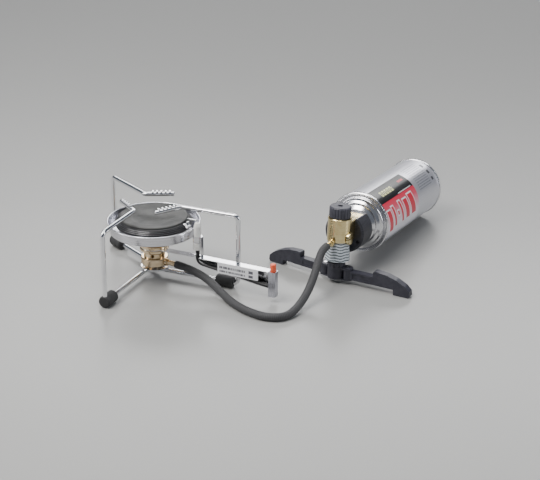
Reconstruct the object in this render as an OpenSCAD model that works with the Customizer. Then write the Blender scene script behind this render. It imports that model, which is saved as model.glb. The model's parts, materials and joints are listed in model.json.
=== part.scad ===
// Remote canister stove: a three-legged wire burner with a piezo igniter, joined by a braided
// hose to a valve that stands on two fold-out legs and holds a gas can lying on its side.
// The origin is on the floor, in the middle of the stove's plan.

/* [Layout] */
// Burner axis, left of the middle of the plan
burner_x = -136; // [-180:1:-100]
// Burner axis, in front of the middle of the plan
burner_y = -58; // [-90:1:-30]
// Valve axis at the floor, right of the middle
valve_x = 59; // [40:0.5:100]
// Valve axis at the floor, in front of the middle
valve_y = -67.5; // [-90:0.5:-40]
// Direction in which the can points, turned from +X
can_az = 62.6; // [40:0.1:90]
// Slope of the can down towards its far end
can_tilt = 4.4; // [2:0.1:9]

/* [Burner] */
// Radius of the bowl's rim
rim_r = 50; // [44:0.5:60]
// Height of the bowl's rim above the floor
rim_z = 64; // [60:0.1:75]
// Height of the bowl's upright band
band_h = 10.5; // [8:0.1:18]
// Thickness of the pressed sheet
sheet_t = 0.9; // [0.6:0.1:1.6]
// Radius of the burner cap
cap_r = 36; // [30:0.5:40]
// Outer radius of the ring of gas ports
port_r = 41.5; // [36:0.5:44]
// Height of the burner cap's edge
cap_z = 69.8; // [66:0.1:78]
// Radius of the brass flange under the bowl
flange_r = 15.5; // [13:0.5:20]
// Radius of the air ring
air_r = 11.5; // [9:0.5:13]
// Radius of the gas block
block_r = 14.6; // [12:0.1:16]
// Direction of the burner's hose tail
tail_az = -31; // [-45:1:-25]

/* [Legs] */
// Radius of the leg wire
wire_r = 2.4; // [1.5:0.1:2.8]
// Length of a leg's bottom run, from its pivot to its upright
leg_run = 88; // [75:1:110]
// Height of the top run's centre line
rest_z = 83; // [78:0.5:100]
// Length of a leg's top run
top_run = 65; // [50:1:70]
// Length of a leg's toothed tip
tip_len = 32; // [20:1:34]
// Turn between the top run and the toothed tip
tip_turn = 55; // [40:1:70]
// Radius of the circle of leg pivots
pivot_r = 9; // [8:0.1:10]
// Radius of a rubber foot
foot_r = 6.5; // [5:0.1:9]
// Length of a rubber foot
foot_len = 20; // [10:1:30]

/* [Igniter] */
// Direction of the igniter bracket
igniter_az = -24.6; // [-28:0.1:-22]
// Length of the bracket, from the burner axis to the piezo case
bracket_end = 138; // [115:1:160]
// Depth of the bracket and of the piezo case
bracket_d = 8.5; // [7.5:0.1:12]
// Width of the piezo case
case_w = 8; // [7.4:0.1:12]
// Height of the piezo case's floor
case_z = 6.4; // [4:0.1:10]
// Radius of the ignition button
button_r = 3.1; // [2:0.1:3.2]
// How far the button stands out of its case
button_out = 8.5; // [6:0.1:12]
// Radius of the ceramic electrode holder
ceramic_r = 3.9; // [3:0.1:4.2]

/* [Hose] */
// Diameter of the hose
hose_d = 8.5; // [7:0.5:10]
// Radius of the hose tails
tail_r = 2.9; // [2:0.1:3.2]

/* [Valve] */
// Radius of the valve's brass barrel
valve_r = 12.5; // [11:0.5:16]
// Height of the valve's barrel
valve_h = 25.5; // [22:0.5:32]
// Radius of the knob
knob_r = 11.7; // [9:0.1:14]
// Height of the knob
knob_h = 12.2; // [10:0.1:18]
// Number of grooves around the knob
knob_grooves = 22; // [12:1:30]
// Outer radius of the can adapter
adapter_r = 22.5; // [20:0.5:26]
// Radius of the post that carries the valve
post_r = 6; // [4:0.5:8]

/* [Stand] */
// Radius of the stand's hub
hub_r = 9.6; // [9:0.1:14]
// Height of the hub's top
hub_top = 23.4; // [20:0.1:23.8]
// Reach of a stand leg from the hub's axis
stand_reach = 87; // [70:1:110]
// Width of a stand leg
stand_w = 8; // [6:0.5:10]
// Direction of the left stand leg
stand_left_az = 143; // [135:1:155]
// Direction of the right stand leg
stand_right_az = -28; // [-35:1:-20]

/* [Can] */
// Radius of the can's wall
can_r = 33; // [30:0.5:36]
// Length of the can over both rims
can_len = 161; // [90:1:170]
// How far a rim stands out from the wall
rim_out = 1; // [0.6:0.1:1.6]
// Distance from the valve axis to the near rim
can_reach = 53; // [50:0.5:62]

/* [Hidden] */
$fn = 48;
run_fit = 0.05;
gap = 0.3;
foot_z = foot_r;
hook_r = wire_r + 0.6;
corner_r = 5;
tip_bend_r = 4;
hub_plate_z = foot_z + wire_r + 1;
hub_plate_t = 2;
wire_head_r = wire_r + 1;
block_z = 14.6;
block_h = 8.4;
air_z = block_z + block_h;
flange_z = 30;
flange_h = 3.8;
neck_r = 11;
nut_r = 15;
nut_h = 3;
bowl_z = 44;
socket_r = 8;
bowl_edge_z = rim_z - band_h;
port_z = cap_z - 7.7;
strap_z = flange_z + flange_h;
bracket_top = strap_z + 0.8;
bracket_low = 15.4;
electrode_u = rim_r + ceramic_r + 1.2;
electrode_v = -5.4;
electrode_z = 43.2;
clip_z = electrode_z + 8.4;
clip_h = 6.6;
clip_r = ceramic_r + 1.1;
ceramic_top = electrode_z + 30.5;
case_top = bracket_top;
case_u = bracket_end + case_w / 2;
case_v = -bracket_d / 2;
case_wall = 0.7;
piezo_top = 24;
button_z = 30.5;
lead_r = 1.4;
can_rim_r = can_r + rim_out;
axis_h = can_rim_r + (can_reach + can_len) * tan(can_tilt);
valve_z = axis_h - 4;
valve_top = valve_z + valve_h;
body_top = valve_top - 4;
adapter_x = valve_r + gap;
adapter_end = can_reach - 14.6;
block_end = adapter_end - 5.4;
stem_r = 2;
nozzle_r = 4;
tail_turn = -126 - can_az;
tail_drop = 12;
tail_z = axis_h - 1;
tail_out = 24;
knob_z = valve_top + 0.4;
post_z = 13.9;
pin_r = 1.6;
eye_r = 5.5;
stand_pivot = 14;
bar_z = 6.2;
bar_top = 15.6;
// name, direction of the pivot, direction of the leg, how far its foot passes the upright
leg_sites = [["front", 180, -114, 3], ["right", 0, -22, -5], ["back", 70, 128, 3]];
hose_route = [
    [-112, -72.4, 19], [-106, -76, 18.8], [-98, -80.8, 17.8], [-88.5, -86.4, 15.6],
    [-79, -93.4, 12.6], [-70.5, -102.6, 9.4], [-62.5, -114, 6.6], [-54, -127.5, 4.8],
    [-44, -141.5, 4.3], [-32, -154.2, 4.3], [-18.5, -163.4, 4.3], [-4, -165.8, 4.3],
    [6.5, -160.5, 4.5], [14, -151, 5.8], [20.4, -140, 8.8], [26.2, -129, 13.8],
    [31, -118.5, 20.2], [34.7, -109.5, 27.2], [37.6, -101.6, 34], [40, -95.4, 39.6],
    [42.2, -90.6, 43.3], [44.6, -86.8, 45.3], [47.9, -81.9, 46.4]];

// ---- frames of the sub-assemblies ----

module at_burner() {
    translate([burner_x, burner_y, 0]) children();
}

module at_igniter() {
    at_burner() rotate([0, 0, igniter_az]) children();
}

module at_stand() {
    translate([valve_x, valve_y, 0]) children();
}

// X along the can, Z up the valve's axis, which leans by the can's slope.
module at_valve() {
    at_stand() rotate([0, 0, can_az]) rotate([0, can_tilt, 0]) children();
}

// Z along the can's axis, measured from the valve's axis.
module along_can(start = 0) {
    at_valve() translate([0, 0, axis_h]) rotate([0, 90, 0]) translate([0, 0, start]) children();
}

// ---- small shared shapes ----

module tube(r_out, r_in, h) {
    difference() {
        cylinder(r = r_out, h = h);
        translate([0, 0, -1]) cylinder(r = r_in, h = h + 2);
    }
}

// A quarter, or another part, of a bent rod in the XZ plane.
module bend(centre_x, centre_z, bend_r, rod_r, start, turn) {
    translate([centre_x, 0, centre_z]) rotate([90, 0, 0]) rotate([0, 0, start])
        rotate_extrude(angle = turn) translate([bend_r, 0]) circle(r = rod_r);
}

module rod_x(x0, x1, z, rod_r) {
    translate([x0, 0, z]) rotate([0, 90, 0]) cylinder(r = rod_r, h = x1 - x0);
}

// ---- burner ----

module burner_bowl() {
    outline = [[socket_r + run_fit, bowl_z], [22, bowl_z], [rim_r - 9, bowl_z + 6.5],
        [rim_r - 2.8, bowl_edge_z], [rim_r - 0.9, rim_z]];
    color("silver") at_burner() {
        rotate_extrude() polygon(concat(outline, [for (i = [4:-1:0])
            [outline[i][0] - (i > 2 ? sheet_t : 0), outline[i][1] + (i > 2 ? 0 : sheet_t)]]));
        translate([0, 0, rim_z]) rotate_extrude() translate([rim_r - 0.9, 0]) circle(r = 0.9, $fn = 24);
    }
}

module burner_base() {
    z0 = bowl_z + sheet_t;
    color("dimgray") at_burner() rotate_extrude() polygon([
        [socket_r + run_fit, z0], [14, z0], [14, z0 + 5], [port_r - 5, port_z - 5],
        [port_r - 1, port_z - 2], [port_r - 1, port_z], [port_r - 5, port_z],
        [port_r - 8, port_z - 2], [14, z0 + 9], [socket_r + run_fit, z0 + 9]]);
}

module port_ring() {
    color("dimgray") at_burner() difference() {
        rotate_extrude() polygon([[port_r - 4, port_z], [port_r, port_z], [port_r, port_z + 0.8],
            [cap_r + 0.4, cap_z - 1.8], [cap_r - 3, cap_z - 1.8]]);
        rotate([0, 0, igniter_az]) translate([cap_r - 1, -4.5, port_z + 1])
            cube([8, 9, 12]);
    }
}

module burner_cap() {
    color("gray") at_burner() rotate_extrude() polygon([[0, cap_z - 3.6], [cap_r - 6, cap_z - 2.6],
        [cap_r - 3, cap_z - 1.8], [cap_r + 0.4, cap_z - 1.8], [cap_r, cap_z - 0.3],
        [cap_r - 1.4, cap_z], [cap_r - 4, cap_z - 0.3], [cap_r - 12, cap_z - 1.4], [0, cap_z - 2.2]]);
}

module mixer_tube() {
    color("goldenrod") at_burner() difference() {
        rotate_extrude() polygon([[7.5, air_z], [air_r, air_z], [air_r, flange_z - 1.5],
            [air_r + 1, flange_z], [flange_r - 1, flange_z], [flange_r, flange_z + 1],
            [flange_r, flange_z + flange_h - 0.6], [flange_r - 0.6, strap_z], [neck_r, strap_z],
            [neck_r, bowl_z], [socket_r, bowl_z], [socket_r, bowl_z + 9], [5.5, bowl_z + 9],
            [5.5, flange_z + 2], [7.5, flange_z - 1]]);
        for (a = [0:60:300])
            rotate([0, 0, a + 24]) translate([5, 0, air_z + 3.4]) rotate([0, 90, 0])
                cylinder(r = 1.9, h = 10);
    }
}

// The nut that holds the igniter's strap down on the flange.
module strap_nut() {
    color("goldenrod") at_burner() difference() {
        rotate_extrude() polygon([[neck_r + run_fit, bracket_top], [nut_r - 0.5, bracket_top],
            [nut_r, bracket_top + 0.5], [nut_r, bracket_top + nut_h - 0.5],
            [nut_r - 0.5, bracket_top + nut_h], [neck_r + run_fit, bracket_top + nut_h]]);
        for (a = [30:60:330])
            rotate([0, 0, a]) translate([nut_r + 0.9, 0, bracket_top - 1]) cylinder(r = 1.8, h = nut_h + 2);
    }
}

module gas_block() {
    color("goldenrod") at_burner() difference() {
        rotate_extrude() polygon([[0, block_z], [block_r - 0.8, block_z], [block_r, block_z + 0.8],
            [block_r, air_z - 0.8], [block_r - 0.8, air_z], [0, air_z]]);
        translate([0, 0, block_z + 3]) cylinder(r = 3 + run_fit, h = 10);
        translate([0, 0, block_z - 1]) cylinder(r = 1.5 + run_fit, h = 3.5);
        rotate([0, 0, tail_az]) translate([0, 0, block_z + block_h / 2 + 0.2]) rotate([0, 90, 0])
            cylinder(r = tail_r + run_fit, h = 20);
    }
}

module gas_jet() {
    color("gold") at_burner() difference() {
        union() {
            translate([0, 0, air_z - 1.6]) cylinder(r = 3, h = 1.6);
            translate([0, 0, air_z]) cylinder(r = 3.6, h = 2.4, $fn = 6);
            translate([0, 0, air_z + 2.4]) cylinder(r1 = 2.6, r2 = 1.4, h = 3);
        }
        translate([0, 0, air_z - 2]) cylinder(r = 1.4, h = 4);
        translate([0, 0, air_z]) cylinder(r = 0.4, h = 8);
    }
}

module burner_hose_tail() {
    color("goldenrod") at_burner() rotate([0, 0, tail_az])
        translate([0, 0, block_z + block_h / 2 + 0.2]) rotate([0, 90, 0]) difference() {
            union() {
                translate([0, 0, 6]) cylinder(r = tail_r, h = 24.5);
                translate([0, 0, block_r - 0.1]) cylinder(r = tail_r + 1.1, h = 3);
            }
            translate([0, 0, 5]) cylinder(r = tail_r - 1.4, h = 28);
        }
}

module leg_hub() {
    color("silver") at_burner() difference() {
        union() {
            translate([0, 0, hub_plate_z]) cylinder(r = pivot_r + wire_r + 3.5, h = hub_plate_t);
            translate([0, 0, hub_plate_z]) cylinder(r = 4, h = block_z - hub_plate_z);
        }
        translate([0, 0, hub_plate_z - 1]) cylinder(r = 1.5 + run_fit, h = 8);
        for (site = leg_sites)
            rotate([0, 0, site[1]]) translate([pivot_r, 0, hub_plate_z - 1])
                cylinder(r = wire_r + run_fit, h = 5);
    }
}

module hub_screw() {
    color("silver") at_burner() {
        translate([0, 0, hub_plate_z - 1.6]) cylinder(r = 3, h = 1.6);
        translate([0, 0, hub_plate_z]) cylinder(r = 1.5, h = block_z + 2.4 - hub_plate_z);
    }
}

// ---- legs ----

module at_leg(i) {
    at_burner() rotate([0, 0, leg_sites[i][1]]) translate([pivot_r, 0, 0])
        rotate([0, 0, leg_sites[i][2] - leg_sites[i][1]]) children();
}

module tip_teeth(count) {
    pitch = (tip_len - 9) / count;
    for (i = [0:count - 1])
        translate([5 + i * pitch, -1.7, rest_z + wire_r - 0.8]) cube([pitch * 0.55, 3.4, 2.1]);
}

module leg_wire() {
    setback = tip_bend_r * tan(tip_turn / 2);
    tip_x = leg_run - top_run + setback;
    head_z = hub_plate_z + hub_plate_t + 0.2;
    color("silver") {
        translate([0, 0, foot_z + hook_r]) cylinder(r = wire_r, h = head_z + 0.1 - foot_z - hook_r);
        translate([0, 0, head_z]) cylinder(r = wire_head_r, h = 1.4);
        bend(hook_r, foot_z + hook_r, hook_r, wire_r, 180, 90);
        rod_x(hook_r, leg_run - corner_r, foot_z, wire_r);
        bend(leg_run - corner_r, foot_z + corner_r, corner_r, wire_r, 270, 90);
        translate([leg_run, 0, foot_z + corner_r])
            cylinder(r = wire_r, h = rest_z - foot_z - 2 * corner_r);
        bend(leg_run - corner_r, rest_z - corner_r, corner_r, wire_r, 0, 90);
        rod_x(tip_x, leg_run - corner_r, rest_z, wire_r);
        translate([tip_x, -tip_bend_r, rest_z]) rotate([0, 0, 90])
            rotate_extrude(angle = tip_turn) translate([tip_bend_r, 0]) circle(r = wire_r);
        translate([tip_x, -tip_bend_r, 0]) rotate([0, 0, 90 + tip_turn])
            translate([tip_bend_r, 0, 0]) rotate([0, 0, 90]) {
                translate([0, 0, rest_z]) sphere(r = wire_r + 0.02);
                rod_x(0, tip_len - setback, rest_z, wire_r);
                tip_teeth(5);
            }
    }
}

module foot(i) {
    end = leg_run + leg_sites[i][3];
    bore_r = wire_r + 0.02;
    color("black") difference() {
        translate([end - foot_len, 0, foot_z]) rotate([0, 90, 0])
            rotate_extrude() polygon([[0, 0], [foot_r - 1, 0], [foot_r, 1], [foot_r, foot_len - 1],
                [foot_r - 1, foot_len], [0, foot_len]]);
        if (end < leg_run)
            rod_x(end - foot_len - 1, end + 1, foot_z, bore_r);
        else {
            rod_x(end - foot_len - 1, leg_run - corner_r, foot_z, bore_r);
            bend(leg_run - corner_r, foot_z + corner_r, corner_r, bore_r, 270, 90);
            translate([leg_run, 0, foot_z + corner_r]) cylinder(r = bore_r, h = foot_r);
        }
    }
}

// ---- igniter ----

module electrode_holder() {
    color("white") at_igniter() translate([electrode_u, electrode_v, 0]) difference() {
        rotate_extrude() polygon([[0, electrode_z], [ceramic_r + 0.7, electrode_z],
            [ceramic_r + 0.9, electrode_z + 0.8], [ceramic_r + 0.9, clip_z - 1.4],
            [ceramic_r + 0.2, clip_z - 0.8], [ceramic_r + 0.2, clip_z], [ceramic_r - 0.4, clip_z],
            [ceramic_r - 0.4, clip_z + clip_h], [ceramic_r, clip_z + clip_h],
            [ceramic_r, ceramic_top - 2], [ceramic_r - 1.4, ceramic_top], [0, ceramic_top]]);
        translate([0, 0, ceramic_top - 5]) cylinder(r = 0.9 + run_fit, h = 6);
        translate([0, 1.7, electrode_z - 1]) cylinder(r = lead_r + run_fit, h = 3.2);
        translate([0, -1.6, electrode_z - 1]) cylinder(r = lead_r + run_fit, h = 3.2);
    }
}

module electrode_clip() {
    color("silver") at_igniter() {
        translate([electrode_u, electrode_v, clip_z]) tube(clip_r, ceramic_r - 0.38, clip_h);
        translate([electrode_u + clip_r - 0.1, electrode_v - 2.4, bracket_top])
            cube([0.7, 4.8, clip_z + clip_h - bracket_top]);
    }
}

module electrode_rod() {
    reach = electrode_u - port_r - 2.5;
    color("silver") at_igniter() translate([electrode_u, electrode_v, ceramic_top - 4.5]) {
        cylinder(r = 0.9, h = 4.5);
        translate([-2, 0, 4.5]) rotate([90, 0, 0]) rotate_extrude(angle = 90)
            translate([2, 0]) circle(r = 0.9, $fn = 24);
        translate([-reach, 0, 6.5]) rotate([0, 90, 0]) cylinder(r = 0.9, h = reach - 2);
    }
}

// The bracket's lower edge drops from its root to the piezo case.
function low_z(u) = bracket_low + (bracket_end - u) * 0.123;

module igniter_bracket() {
    root = electrode_u + ceramic_r + 1.6;
    color("silver") at_igniter() difference() {
        union() {
            translate([0, -bracket_d, strap_z]) cube([bracket_end, bracket_d, 0.8]);
            translate([0, 0, strap_z]) cylinder(r = flange_r - 1, h = 0.8);
            rotate([90, 0, 0]) linear_extrude(0.8) polygon([[root - 6, strap_z + 0.4],
                [root - 6, low_z(root) + 4], [root, low_z(root)], [bracket_end, bracket_low],
                [bracket_end, strap_z + 0.4]]);
            rotate([90, 0, 0]) linear_extrude(bracket_d - 1.5) polygon([[root, low_z(root)],
                [bracket_end, bracket_low], [bracket_end, bracket_low + 0.8],
                [root, low_z(root) + 0.8]]);
        }
        translate([0, 0, strap_z - 1]) cylinder(r = neck_r + run_fit, h = 3);
        translate([electrode_u, electrode_v, strap_z - 1]) cylinder(r = ceramic_r - 0.1, h = 3);
        for (u = [76, bracket_end - 8])
            translate([u, 1, (strap_z + low_z(u)) / 2]) rotate([90, 0, 0])
                cylinder(r = 1.2 + run_fit, h = 3);
    }
}

module bracket_rivets() {
    color("silver") at_igniter() for (u = [76, bracket_end - 8])
        translate([u, 0, (strap_z + low_z(u)) / 2]) rotate([90, 0, 0]) {
            translate([0, 0, -1.0]) cylinder(r1 = 1.6, r2 = 2.2, h = 1.0);
            cylinder(r = 1.2, h = 0.8);
            translate([0, 0, 0.8]) cylinder(r1 = 2.2, r2 = 1.4, h = 0.8);
        }
}

module piezo_case() {
    color("silver") at_igniter() translate([case_u, case_v, case_z]) difference() {
        translate([-case_w / 2, -bracket_d / 2, 0]) cube([case_w, bracket_d, case_top - case_z]);
        translate([-case_w / 2 + case_wall, -bracket_d / 2 + case_wall, case_wall])
            cube([case_w - 2 * case_wall, bracket_d - 2 * case_wall, 60]);
    }
}

module piezo_unit() {
    color("ivory") at_igniter() translate([case_u, case_v, case_z + case_wall])
        cylinder(r = case_w / 2 - case_wall, h = piezo_top - case_z - case_wall);
}

module button_spring() {
    turns = 4;
    rise = button_z - piezo_top - 1;
    color("gray") at_igniter() translate([case_u, case_v, piezo_top + 0.5])
        swept([for (i = [0:turns * 16]) [2.4 * cos(22.5 * i), 2.4 * sin(22.5 * i),
            rise * i / (turns * 16)]], 0.35, 8);
}

module igniter_button() {
    top = case_top + button_out;
    color("orangered") at_igniter() translate([case_u, case_v, 0]) rotate_extrude() polygon([
        [0, button_z], [button_r, button_z], [button_r, top - 2], [button_r - 0.5, top - 0.9],
        [button_r - 1.4, top - 0.2], [0, top]]);
}

// A lead leaves the ceramic downwards, turns out and slopes along the bracket to the case.
function lead_path(v, turn_z, slope, radius) = let (
    u0 = electrode_u + radius * (1 - cos(90 - slope)),
    z0 = turn_z - radius * sin(90 - slope),
    u1 = bracket_end - 0.3)
    concat([[electrode_u, v, electrode_z + 2]],
        [for (k = [0:5]) let (a = (90 - slope) * k / 5)
            [electrode_u + radius * (1 - cos(a)), v, turn_z - radius * sin(a)]],
        [for (k = [1:4]) [u0 + (u1 - u0) * k / 4, v, z0 - (u1 - u0) * k / 4 * tan(slope)]]);

module ignition_lead() {
    color("black") at_igniter() swept(lead_path(electrode_v + 1.7, 36, 8.4, 7), lead_r, 8, [0, 1, 0]);
}

module ground_lead() {
    color("black") at_igniter() swept(lead_path(electrode_v - 1.6, 34.2, 6.9, 7), lead_r, 8, [0, 1, 0]);
}

module bracket_label() {
    color("white") at_igniter() translate([80, -bracket_d - 0.3, bracket_top - 12.4])
        cube([bracket_end - 91, 0.3, 12.2]);
}

// ---- hose ----

function unit(v) = v / norm(v);
function heading(path, i) =
    unit(path[min(i + 1, len(path) - 1)] - path[max(i - 1, 0)]);

module swept(path, r, sides, across = [0, 0, 1]) {
    rings = [for (i = [0:len(path) - 1])
        let (t = heading(path, i), side = unit(cross(t, across)), up = cross(side, t))
        for (k = [0:sides - 1])
            path[i] + r * (cos(360 * k / sides) * side + sin(360 * k / sides) * up)];
    last = len(path) - 1;
    walls = [for (i = [0:last - 1]) for (k = [0:sides - 1])
        let (a = i * sides + k, b = i * sides + (k + 1) % sides)
        for (f = [[a, a + sides, b], [b, a + sides, b + sides]]) f];
    ends = [[for (k = [0:sides - 1]) k], [for (k = [sides - 1:-1:0]) last * sides + k]];
    polyhedron(rings, concat(walls, ends));
}

module hose() {
    color("darkslategray") swept(hose_route, hose_d / 2, 12);
}

// ---- valve ----

module at_tail() {
    at_valve() translate([0, 0, tail_z]) rotate([0, 0, tail_turn])
        rotate([0, 90 + tail_drop, 0]) children();
}

module valve_body() {
    color("goldenrod") difference() {
        at_valve() union() {
            translate([0, 0, valve_z]) cylinder(r = valve_r, h = valve_h - 2);
            translate([0, 0, valve_top - 2]) cylinder(r = valve_r + 0.3, h = 1.4);
            translate([0, 0, valve_top - 0.6]) cylinder(r1 = valve_r + 0.3, r2 = valve_r - 0.3, h = 0.6);
            translate([0, -valve_r, valve_z]) cube([block_end, 2 * valve_r, body_top - valve_z]);
        }
        at_valve() {
            translate([0, 0, axis_h]) cylinder(r = 1.5, h = 40);
            translate([0, 0, axis_h + 6]) cylinder(r = 4, h = 40);
            translate([0, 0, valve_top - 6]) cylinder(r = 6 + run_fit, h = 20);
        }
        along_can() cylinder(r = 1.5, h = 60);
        along_can(block_end - 6) cylinder(r = nozzle_r + run_fit, h = 20);
        at_valve() translate([0, -valve_r + 0.8, axis_h]) rotate([90, 0, 0])
            cylinder(r = 7.1, h = 10);
        at_valve() translate([0, -valve_r + 6.5, axis_h]) rotate([90, 0, 0])
            cylinder(r = 4 + run_fit, h = 20);
        at_tail() translate([0, 0, 8]) cylinder(r = tail_r + run_fit, h = 30);
    }
}

module valve_spindle() {
    color("gold") at_valve() difference() {
        union() {
            translate([0, 0, axis_h + 6.2]) cylinder(r1 = 0.6, r2 = 2, h = 2.4);
            translate([0, 0, axis_h + 8.6]) cylinder(r = 2, h = knob_z + knob_h - 4.4 - axis_h - 8.6);
        }
        translate([0, 0, knob_z + knob_h - 9]) cylinder(r = 1.2 + run_fit, h = 10);
    }
}

module spindle_seal() {
    color("black") at_valve() translate([0, 0, valve_top - 7.2]) rotate_extrude()
        translate([3.02, 0]) circle(r = 0.94, $fn = 24);
}

module gland_nut() {
    color("goldenrod") at_valve() translate([0, 0, valve_top - 6]) difference() {
        union() {
            cylinder(r = 6, h = 4.4);
            translate([0, 0, 4.4]) cylinder(r = 5.6, h = 1.4, $fn = 6);
        }
        translate([0, 0, -1]) cylinder(r = 2 + run_fit, h = 10);
    }
}

module knob() {
    color("black") at_valve() translate([0, 0, knob_z]) difference() {
        rotate_extrude() polygon([[0, 0], [knob_r - 0.4, 0], [knob_r, 0.5], [knob_r, knob_h - 1.4],
            [knob_r - 1.2, knob_h], [0, knob_h]]);
        for (i = [0:knob_grooves - 1])
            rotate([0, 0, i * 360 / knob_grooves]) translate([knob_r + 0.25, 0, -1])
                cylinder(r = 0.75, h = knob_h + 2, $fn = 24);
        translate([0, 0, -1]) cylinder(r = 2 + run_fit, h = knob_h - 3.4 + 0.1);
        translate([0, 0, knob_h - 4.5]) cylinder(r = 1.2 + run_fit, h = 3);
        translate([0, 0, knob_h - 2.8]) cylinder(r = 2.7, h = 5);
    }
}

module knob_screw() {
    color("gray") at_valve() translate([0, 0, knob_z + knob_h]) {
        translate([0, 0, -8.5]) cylinder(r = 1.2, h = 5.7);
        translate([0, 0, -2.8]) difference() {
            cylinder(r = 2.4, h = 1.4);
            translate([-3, -0.3, 0.7]) cube([6, 0.6, 2]);
        }
    }
}

module side_plug() {
    color("goldenrod") at_valve() translate([0, -valve_r + 0.8, axis_h]) rotate([90, 0, 0])
        difference() {
            union() {
                translate([0, 0, -5.5]) cylinder(r = 4, h = 5.5);
                rotate_extrude() polygon([[0, 0], [7, 0], [7, 2.2], [6.4, 2.8], [0, 2.8]]);
            }
            translate([-8, -0.6, 1.8]) cube([16, 1.2, 3]);
        }
}

module valve_hose_tail() {
    color("goldenrod") at_tail() difference() {
        union() {
            translate([0, 0, 8]) cylinder(r = tail_r, h = tail_out - 8);
            translate([0, 0, valve_r + 0.8]) cylinder(r = tail_r + 0.9, h = 2.4);
        }
        translate([0, 0, 7]) cylinder(r = tail_r - 1.4, h = tail_out);
    }
}

module adapter_shell() {
    color("black") along_can(adapter_x) difference() {
        rotate_extrude() polygon([[0, 0], [adapter_r - 2, 0], [adapter_r, 2],
            [adapter_r, adapter_end - adapter_x - 0.8], [adapter_r - 0.8, adapter_end - adapter_x],
            [0, adapter_end - adapter_x]]);
        // channel for the brass block, and the flat that its top leaves
        translate([-adapter_r - 1, -valve_r - run_fit, -1])
            cube([adapter_r + 5 + run_fit, 2 * valve_r + 2 * run_fit, block_end - adapter_x + 1]);
        translate([-adapter_r - 40, -30, -1]) cube([40 + adapter_r - (body_top - axis_h), 60, 40]);
        // mouth for the can's collar
        translate([0, 0, block_end - adapter_x]) cylinder(r = 16.3, h = 20);
        // round pockets in the face that looks at the valve
        for (side = [-1, 1])
            translate([7, side * 16.9, -1]) cylinder(r = 2.2, h = 3.5);
    }
}

module can_nozzle() {
    color("gold") along_can(block_end - 6) difference() {
        cylinder(r = nozzle_r, h = 5.6);
        translate([0, 0, -1]) cylinder(r = 1.5, h = 8);
        translate([0, 0, 2.35]) cylinder(r = stem_r + run_fit, h = 4);
    }
}

module nozzle_seal() {
    color("black") along_can(block_end - 3.6) tube(stem_r - 0.05, 1.1, 0.6);
}

module valve_post() {
    color("gray") at_valve() translate([0, 0, post_z]) cylinder(r = post_r, h = valve_z - post_z);
}

module tag_sleeve() {
    h = valve_z - 0.4 - 25;
    color("gainsboro") difference() {
        at_valve() translate([0, 0, 25]) difference() {
            cylinder(r1 = valve_r + 0.9, r2 = valve_r - 1, h = h);
            translate([0, 0, -0.01]) cylinder(r1 = valve_r + 0.1, r2 = valve_r - 1.8, h = h + 0.02);
        }
        at_tail() cylinder(r = tail_r + 0.9 + gap, h = 30);
    }
}

// ---- stand ----

module at_stand_pivot(az) {
    at_stand() rotate([0, 0, az]) translate([stand_pivot, 0, 0]) children();
}

module stand_hub() {
    ears = [stand_left_az, stand_right_az];
    color("black") difference() {
        union() {
            at_stand() translate([0, 0, bar_z - 1]) cylinder(r = hub_r, h = hub_top - bar_z + 1);
            for (az = ears) {
                at_stand_pivot(az) translate([0, 0, bar_z - 1.6]) cylinder(r = eye_r, h = 1.3);
                at_stand_pivot(az) translate([0, 0, bar_top + 0.3]) cylinder(r = eye_r, h = 2.4);
                for (z = [bar_z - 1.6, bar_top + 0.3])
                    at_stand() rotate([0, 0, az]) translate([0, -eye_r, z])
                        cube([stand_pivot, 2 * eye_r, z < bar_z ? 1.3 : 2.4]);
            }
        }
        for (az = ears) {
            at_stand_pivot(az) translate([0, 0, bar_z - 0.3]) cylinder(r = eye_r + 0.4, h = bar_top - bar_z + 0.6);
            at_stand_pivot(az) cylinder(r = pin_r + run_fit, h = 30);
        }
        at_valve() translate([0, 0, post_z]) cylinder(r = post_r + run_fit, h = 30);
        // upright grooves around the hub
        at_stand() for (i = [0:11])
            rotate([0, 0, i * 30 + 15]) translate([hub_r + 0.6, 0, bar_top + 3.2])
                cylinder(r = 1.3, h = 20, $fn = 24);
    }
}

module stand_leg() {
    reach = stand_reach - stand_pivot;
    step = reach * 0.42;
    toe = reach - 19;
    color("black") difference() {
        union() {
            translate([0, 0, bar_z]) cylinder(r = eye_r, h = bar_top - bar_z);
            translate([0, stand_w / 2, 0]) rotate([90, 0, 0]) linear_extrude(stand_w) polygon([
                [0, bar_z], [toe, bar_z], [toe + 0.6, 0], [reach - 1.5, 0], [reach, 2],
                [reach - 0.5, 7.5], [reach - 6, 12.5], [reach - 16, 17.6], [reach - 27, 20.8],
                [step + 4, 22], [step + 0.8, 21.6], [step, 20.4], [step, bar_top], [0, bar_top]]);
        }
        translate([0, 0, bar_z - 1]) cylinder(r = pin_r + run_fit, h = 20);
        // shallow pockets in both flanks
        for (side = [-1, 1])
            translate([7, side * stand_w / 2 - 0.7, bar_z + 2]) cube([step - 10, 1.4, 5.2]);
    }
}

module stand_pins() {
    color("silver") for (az = [stand_left_az, stand_right_az])
        at_stand_pivot(az) translate([0, 0, bar_z - 1.6]) cylinder(r = pin_r, h = bar_top - bar_z + 4.3);
}

// ---- can ----

// A rim seamed over the edge of the can's wall, followed by the shape of the end panel.
module can_end(panel) {
    rim = can_r + rim_out;
    rotate_extrude() polygon(concat([[can_r + run_fit, 3.8], [can_r + run_fit, 0.7],
        [can_r - 0.62, 0.7], [can_r - 0.62, 6]], [for (p = panel) [can_r - p[0], p[1]]],
        [[rim - 1, 0], [rim - 0.3, 0.2], [rim, 0.8], [rim, 3.2], [rim - 0.5, 3.8]]));
}

module can_body() {
    color("gainsboro") along_can(can_reach + 0.75) tube(can_r, can_r - 0.6, can_len - 1.5);
}

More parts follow.
